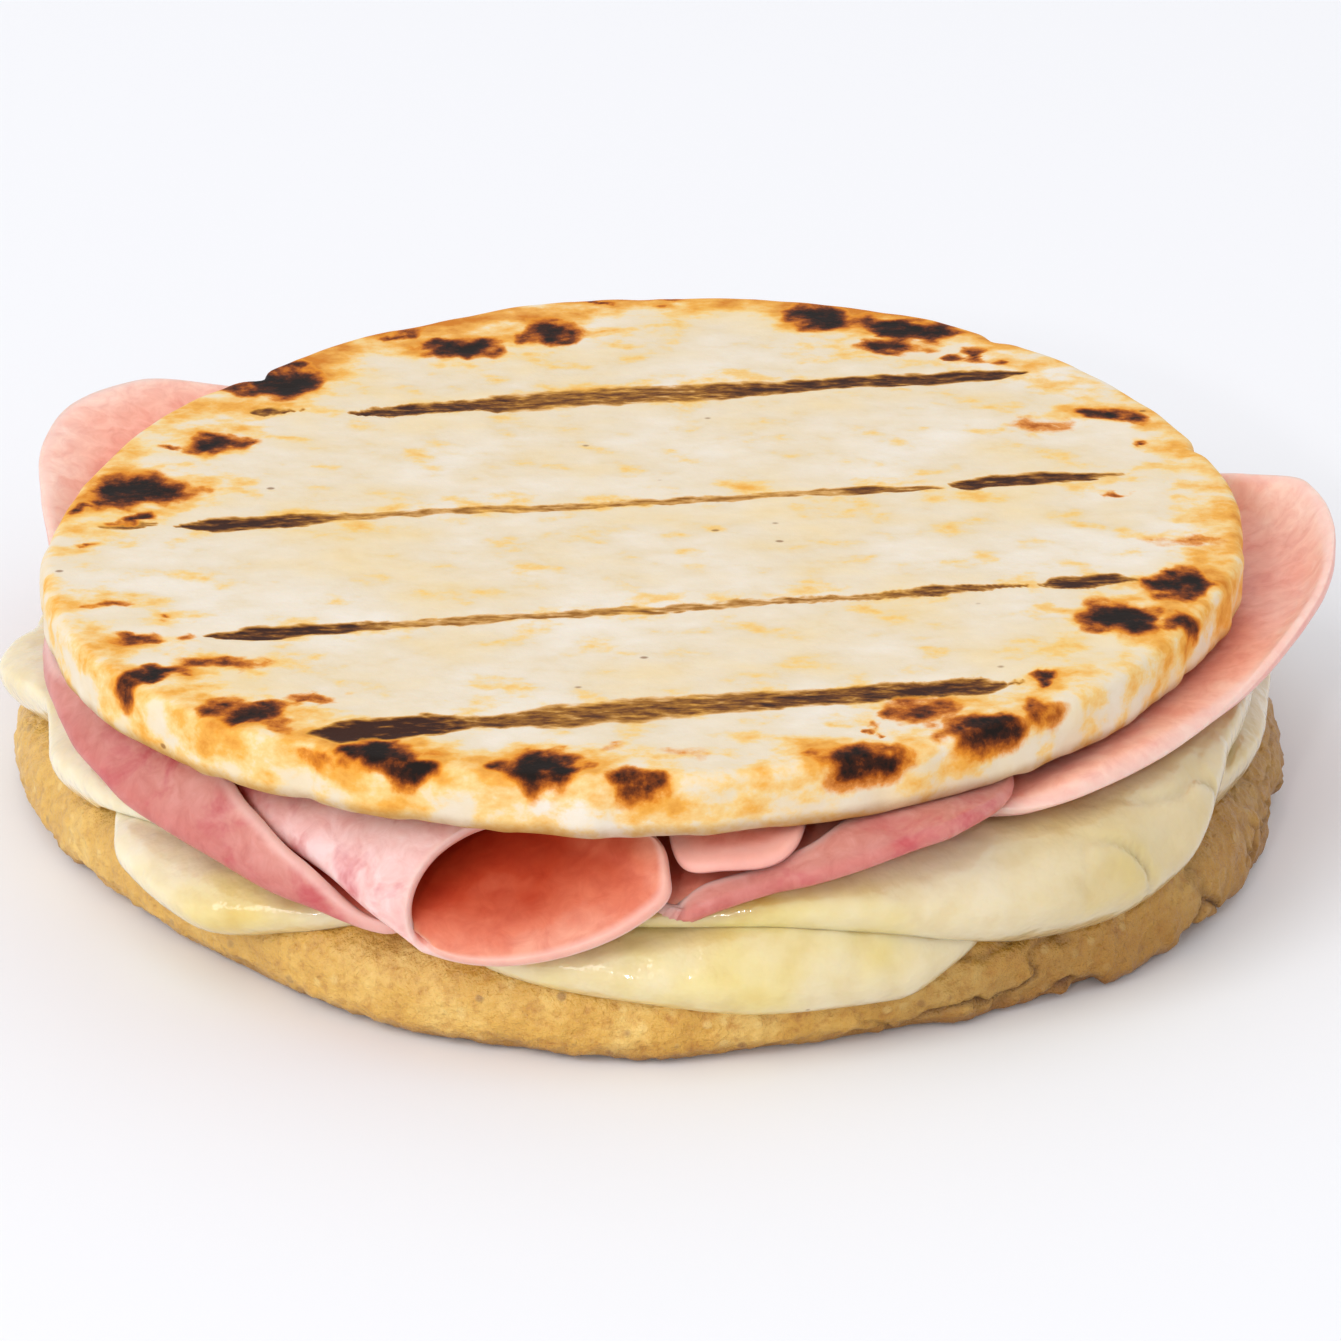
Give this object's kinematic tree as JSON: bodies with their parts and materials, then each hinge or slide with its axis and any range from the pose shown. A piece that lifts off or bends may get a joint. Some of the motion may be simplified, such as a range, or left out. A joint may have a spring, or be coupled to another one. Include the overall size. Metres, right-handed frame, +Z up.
{
  "type": "arepa corn cake",
  "caption": "Round griddled corn-cake sandwich: a charred white cake over folded cooked ham, melted cheese and a yellow cake.",
  "frame": {"origin": "middle of the lower cake's flat underside", "axes": "+Z up through the sandwich; -Y towards the mouth of the ham roll; +X to its right"},
  "size_m": [0.1335, 0.129, 0.0288],
  "materials": {
    "cake_lower": "grainy cooked yellow corn dough, a little oily",
    "cheese_lower": "melted white cheese, smooth and glossy",
    "cheese_upper": "melted white cheese, smooth and glossy",
    "ham_right": "cooked ham slice, moist and slightly translucent",
    "ham_left": "cooked ham slice, moist and slightly translucent",
    "ham_flap": "cooked ham slice, moist and slightly translucent",
    "ham_roll": "cooked ham slice, moist and slightly translucent",
    "cake_upper": "griddled white corn dough with char marks, matt"
  },
  "bodies": {
    "root": {"cake_lower": "cake_lower", "cheese_lower": "cheese_lower", "cheese_upper": "cheese_upper", "ham_right": "ham_right", "ham_left": "ham_left", "ham_flap": "ham_flap", "ham_roll": "ham_roll", "cake_upper": "cake_upper"}
  },
  "joints": []
}
